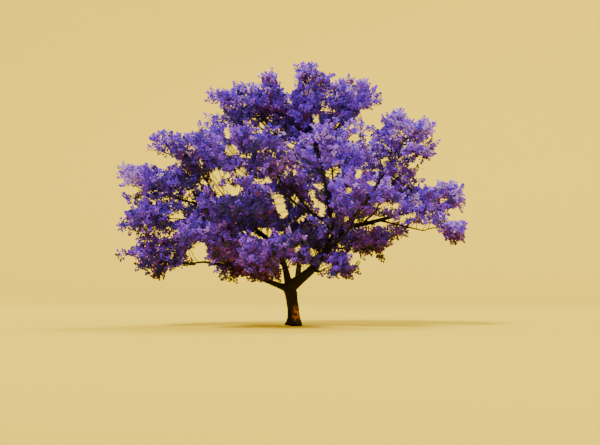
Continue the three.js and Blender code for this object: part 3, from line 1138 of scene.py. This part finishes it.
def joined_mesh(name, points, faces, materials, slots=None):
    """A mesh from arrays of points, of triangles and of each triangle's material slot."""
    mesh = bpy.data.meshes.new(name)
    mesh.vertices.add(len(points))
    mesh.vertices.foreach_set("co", np.asarray(points, dtype=np.float32).ravel())
    mesh.loops.add(3 * len(faces))
    mesh.loops.foreach_set("vertex_index", np.asarray(faces, dtype=np.int32).ravel())
    mesh.polygons.add(len(faces))
    mesh.polygons.foreach_set("loop_start", np.arange(0, 3 * len(faces), 3, dtype=np.int32))
    for material in materials:
        mesh.materials.append(material)
    if slots is not None:
        mesh.polygons.foreach_set("material_index", np.asarray(slots, dtype=np.int32))
    mesh.update()
    mesh.validate()
    mesh.shade_flat()
    return mesh


def sides_of(ways):
    """Two unit vectors for each way of length 1, square to it and to each other."""
    side = np.cross(ways, ASIDE)
    side /= np.linalg.norm(side, axis=1)[:, None]
    return side, np.cross(ways, side)


def triangles(first, second, third):
    """Triangles from the numbers of their corners, as one array."""
    return np.stack(np.broadcast_arrays(first, second, third), axis=-1).reshape(-1, 3)


def tube_arrays(line, root_radius, tip_radius, sides):
    """A closed tapering tube along a line: rings of points, and a point at each end."""
    slopes = np.gradient(line, axis=0)
    slopes /= np.linalg.norm(slopes, axis=1)[:, None]
    side, other = sides_of(slopes)
    shares = np.linspace(0, 1, len(line))
    radii = root_radius + (tip_radius - root_radius) * shares
    angles = np.arange(sides) * 2 * math.pi / sides
    round_it = side[:, None] * np.cos(angles)[:, None] + other[:, None] * np.sin(angles)[:, None]
    rings = line[:, None] + round_it * radii[:, None, None]
    points = np.vstack((rings.reshape(-1, 3), line[:1], line[-1:] + slopes[-1:] * tip_radius))
    ring = np.arange(sides)
    after = (ring + 1) % sides
    start = (np.arange(len(line) - 1) * sides)[:, None]
    foot, tip, last = len(points) - 2, len(points) - 1, (len(line) - 1) * sides
    walls = (
        triangles(start + ring, start + after, start + sides + after),
        triangles(start + ring, start + sides + after, start + sides + ring),
    )
    caps = triangles(after, ring, foot), triangles(last + ring, last + after, tip)
    return points, np.concatenate(walls + caps)


def spike_arrays(root, tip, radius):
    """A thin three-sided spike: its base's corners and its tip."""
    angles = (0, 2.1, 4.2)  # about a third of a turn apart
    ahead = unit(tip - root)
    side = unit(np.cross(ahead, ASIDE)) * radius
    other = np.cross(ahead, side)
    base = [root + side * math.cos(angle) + other * math.sin(angle) for angle in angles]
    return np.vstack((base, tip)), np.array(((0, 1, 3), (1, 2, 3), (2, 0, 3), (2, 1, 0)))


def stalks_of(growths):
    """Where each stalk has its root and its tip, and how much daylight reaches it."""
    stalks = [stalk for growth in growths for stalk in growth.stalks]
    return [np.array(column) for column in zip(*stalks)]


def wood_arrays(growths):
    """All the fine wood of some growths: stems, short limbs, twigs, shoots and stalks."""
    stalk_radius = 0.005
    roots, tips, _ = stalks_of(growths)
    parts = [tube_arrays(*limb) for growth in growths for limb in growth.wood]
    parts += [spike_arrays(root, tip, stalk_radius) for root, tip in zip(roots, tips)]
    starts = np.cumsum([0] + [len(points) for points, _ in parts[:-1]])
    points = np.vstack([points for points, _ in parts])
    faces = np.vstack([faces + start for (_, faces), start in zip(parts, starts)])
    return points, faces


def flower_form():
    """A flower of length 1 along +Z: a bell with five corners."""
    corners, radius, height = 5, 0.44, 0.9
    angles = np.arange(corners) * 2 * math.pi / corners
    rim = np.c_[radius * np.cos(angles), radius * np.sin(angles), np.full(corners, height)]
    ring = np.arange(corners) + 1
    after = ring % corners + 1
    return np.vstack(((0, 0, 0), rim)), triangles(0, after, ring)


def set_out(form, places, ways, sizes, rolls):
    """A form repeated at each place, pointing along each way."""
    points, faces = form
    ways = ways / np.linalg.norm(ways, axis=1)[:, None]
    side, other = sides_of(ways)
    across = side * np.cos(rolls)[:, None] + other * np.sin(rolls)[:, None]
    over = np.cross(ways, across)
    axes = np.stack((across, over, ways), axis=1)
    moved = np.einsum("pk,nkj->npj", points, axes) * sizes[:, None, None] + places[:, None]
    starts = np.arange(len(places)) * len(points)
    return moved.reshape(-1, 3), (faces[None] + starts[:, None, None]).reshape(-1, 3)


def flowers_of(growths, settings, chance):
    """Where each flower sits, which way it points, its size and its roll."""
    full_turn, ragged_turn, ragged_way = 6.28, 0.35, 0.3
    sizes_between = (0.75, 1.25)
    lowest, spray_length, spray_width, taper = 0.12, 0.9, 0.14, 0.7  # of the stalk's length
    roots, tips, _ = stalks_of(growths)
    lengths = np.linalg.norm(tips - roots, axis=1)
    ahead = (tips - roots) / lengths[:, None]
    side, other = sides_of(ahead)
    many = (len(roots), settings.flowers)
    share = (np.arange(settings.flowers) + 0.5) / settings.flowers
    first = chance.uniform(0, full_turn, len(roots))[:, None]
    bearing = np.arange(settings.flowers) * GOLDEN_ANGLE + first
    bearing = (bearing + chance.normal(0, ragged_turn, many))[..., None]
    outward = side[:, None] * np.cos(bearing) + other[:, None] * np.sin(bearing)
    share = share[None, :, None]
    lengths = lengths[:, None, None]
    places = roots[:, None] + ahead[:, None] * lengths * (lowest + spray_length * share)
    places = places + outward * lengths * spray_width * (1 - share) ** taper
    ways = outward * (1.15 - share) + ahead[:, None] * (0.25 + share)
    ways = ways + chance.normal(0, ragged_way, ways.shape)
    sizes = settings.flower_length * chance.uniform(*sizes_between, many)
    rolls = chance.uniform(0, full_turn, many)
    return places.reshape(-1, 3), ways.reshape(-1, 3), sizes.ravel(), rolls.ravel()


def tints_of(growths, settings, chance):
    """The tint of each stalk's flowers, paler where more daylight reaches them."""
    mixed, odd_share = 0.27, 0.03
    _, _, light = stalks_of(growths)
    light = light + chance.normal(0, mixed, len(light))
    tints = np.searchsorted(TINT_STEPS, light)
    tints[chance.uniform(0, 1, len(light)) < odd_share] = TINTS.index("magenta")
    return np.repeat(tints, settings.flowers)


def leaf_form(pairs=6):
    """A feathered leaf of length 1 along +Z: narrow blades in pairs, and one at the end."""
    first_pair, pairs_over, last_blade = 0.16, 0.72, 0.86
    longest, shortest, slimness = 0.30, 0.14, 0.2
    spread, sag, droop = math.radians(58), 0.18, (0, 0.05, 0)
    points, faces = [], []
    shares = [first_pair + pairs_over * index / pairs for index in range(pairs)]
    blades = [(share, side) for share in shares for side in (-1, 1)]
    for share, side in blades + [(last_blade, 0)]:
        reach = longest * math.sin(math.pi * (0.22 + 0.66 * share)) if side else shortest
        lean = spread * side
        ahead = np.array((math.sin(lean), 0.0, math.cos(lean)))
        across = np.array((math.cos(lean), 0.0, -math.sin(lean))) * slimness * reach
        root = np.array((0.0, -sag * share**2, share))
        middle = root + ahead * reach * 0.5
        start = len(points)
        points += [root, middle - across, root + ahead * reach - droop, middle + across]
        faces += [(start, start + 1, start + 2), (start, start + 2, start + 3)]
    return np.array(points), np.array(faces)


class JACARANDA_OT_twigs(bpy.types.Operator):
    """Grow the fine wood of each part of the crown"""

    bl_idname = "jacaranda.twigs"
    bl_label = "Twigs"

    def execute(self, context):
        material = twig_material()
        for region, names in REGIONS.items():
            points, faces = wood_arrays(grown_crown()[region])
            mesh = joined_mesh("twigs_" + region, points, faces, [material])
            piece = placed("twigs_" + region, mesh)
            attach(piece, "root")
            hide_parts(*("mass_" + name for name in names))
        return {"FINISHED"}


class JACARANDA_OT_blossom(bpy.types.Operator):
    """Set the flowers round every stalk"""

    bl_idname = "jacaranda.blossom"
    bl_label = "Blossom"

    def execute(self, context):
        settings = context.scene.jacaranda_crown
        colours = context.scene.jacaranda_petals
        petals = [petal_material(name, getattr(colours, name)) for name in TINTS]
        form = flower_form()
        first_seed = 101
        for seed, (region, names) in enumerate(REGIONS.items(), first_seed):
            growths = grown_crown()[region]
            chance = np.random.default_rng(seed)
            points, faces = set_out(form, *flowers_of(growths, settings, chance))
            slots = np.repeat(tints_of(growths, settings, chance), len(form[1]))
            mesh = joined_mesh("blossom_" + region, points, faces, petals, slots)
            piece = placed("blossom_" + region, mesh)
            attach(piece, "root")
            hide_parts(*("mass_" + name for name in names))
        return {"FINISHED"}


class JACARANDA_OT_leaves(bpy.types.Operator):
    """Put the few young leaves on the shaded stalks"""

    bl_idname = "jacaranda.leaves"
    bl_label = "Leaves"

    def execute(self, context):
        settings = context.scene.jacaranda_crown
        seed, sizes_between = 201, (0.7, 1.15)
        chance = np.random.default_rng(seed)
        growths = [growth for region in grown_crown().values() for growth in region]
        leaves = [leaf for growth in growths for leaf in growth.leaves]
        roots = np.array([root for root, _ in leaves])
        ways = np.array([tip - root for root, tip in leaves])
        sizes = settings.leaf_length * chance.uniform(*sizes_between, len(leaves))
        rolls = chance.uniform(0, 2 * math.pi, len(leaves))
        points, faces = set_out(leaf_form(), roots, ways, sizes, rolls)
        mesh = joined_mesh("leaves", points, faces, [leaf_material()])
        piece = placed("leaves", mesh)
        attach(piece, "root")
        return {"FINISHED"}


# ---- Stage ----


class JACARANDA_OT_stage(bpy.types.Operator):
    """Set up the paper, the light and the camera"""

    bl_idname = "jacaranda.stage"
    bl_label = "Stage"

    def execute(self, context):
        settings = context.scene.jacaranda_stage
        context.scene.camera = self.camera(settings)
        context.scene.world = self.light(settings)
        self.paper(settings)
        return {"FINISHED"}

    def camera(self, settings):
        seen_width, aim_height = 24.0, 4.14  # metres, at the trunk
        data = bpy.data.cameras.new("camera")
        data.sensor_width = 36
        data.lens = data.sensor_width * settings.distance / seen_width
        data.clip_end = 500
        camera = placed("camera", data)
        camera.location = (EYE[0], -settings.distance, settings.eye)
        aim = Vector((EYE[0], 0, aim_height)) - camera.location
        camera.rotation_euler = aim.to_track_quat("-Z", "Y").to_euler()
        return camera

    def paper(self, settings):
        """A round floor that turns up into a wall on all sides."""
        flat, turn, top, steps, below_foot = 75.0, 60.0, 90.0, 12, 0.002
        profile = bmesh.new()
        points = [Vector((0, 0, 0)), Vector((flat, 0, 0))]
        for step in range(1, steps + 1):
            angle = step / steps * math.pi / 2
            points.append(Vector((flat + turn * math.sin(angle), 0, turn * (1 - math.cos(angle)))))
        points.append(Vector((flat + turn, 0, top)))
        verts = [profile.verts.new(point) for point in points]
        edges = [profile.edges.new(pair) for pair in zip(verts, verts[1:])]
        whole_turn = {"angle": 2 * math.pi, "steps": 96, "use_merge": True}
        bmesh.ops.spin(profile, geom=verts + edges, axis=UP, **whole_turn)
        bmesh.ops.remove_doubles(profile, verts=profile.verts, dist=1e-4)
        bmesh.ops.recalc_face_normals(profile, faces=profile.faces)
        bmesh.ops.translate(profile, verts=profile.verts, vec=-below_foot * UP)
        mesh = mesh_of(profile, "paper")
        mesh.shade_smooth()
        mesh.materials.append(paper_material(settings.paper))
        return placed("paper", mesh)

    def light(self, settings):
        """Light from all round, a key light from the front and a weaker one from the back."""
        daylight, softness, tilt = (0.96, 0.98, 1.12), math.radians(16), math.radians(42)
        world = bpy.data.worlds.new("studio")
        world.use_nodes = True
        sky = world.node_tree.nodes["Background"]
        sky.inputs["Color"].default_value = colour(daylight)
        sky.inputs["Strength"].default_value = settings.fill
        for name, energy, bearing in (("key", settings.key, -28), ("back", settings.back, 152)):
            data = bpy.data.lights.new(name, "SUN")
            data.energy = energy
            data.angle = softness
            placed(name, data).rotation_euler = (tilt, 0, math.radians(bearing))
        return world


class JACARANDA_PT_panel(bpy.types.Panel):
    """The jacaranda's settings and the buttons that dress it"""

    bl_idname = "JACARANDA_PT_panel"
    bl_label = "Jacaranda"
    bl_space_type = "VIEW_3D"
    bl_region_type = "UI"
    bl_category = "Jacaranda"

    def draw(self, context):
        for group in SETTINGS:
            settings = getattr(context.scene, group)
            box = self.layout.box()
            for key in settings.bl_rna.properties.keys():
                if key not in ("rna_type", "name"):
                    box.prop(settings, key)
        for operator in OPERATORS:
            self.layout.operator(operator.bl_idname)


OPERATORS = (
    JACARANDA_OT_stage,
    JACARANDA_OT_bark,
    JACARANDA_OT_twigs,
    JACARANDA_OT_blossom,
    JACARANDA_OT_leaves,
)
SETTINGS = {
    "jacaranda_bark": BarkSettings,
    "jacaranda_crown": CrownSettings,
    "jacaranda_petals": PetalSettings,
    "jacaranda_stage": StageSettings,
}


def register():
    for group in SETTINGS.values():
        bpy.utils.register_class(group)
    for key, group in SETTINGS.items():
        setattr(bpy.types.Scene, key, bpy.props.PointerProperty(type=group))
    for operator in OPERATORS:
        bpy.utils.register_class(operator)
    bpy.utils.register_class(JACARANDA_PT_panel)


def unregister():
    bpy.utils.unregister_class(JACARANDA_PT_panel)
    for operator in reversed(OPERATORS):
        bpy.utils.unregister_class(operator)
    for key in SETTINGS:
        delattr(bpy.types.Scene, key)
    for group in SETTINGS.values():
        bpy.utils.unregister_class(group)


def main():
    register()
    bpy.ops.jacaranda.stage()
    bpy.ops.jacaranda.bark()
    bpy.ops.jacaranda.twigs()
    bpy.ops.jacaranda.blossom()
    bpy.ops.jacaranda.leaves()


if __name__ == "__main__":
    main()
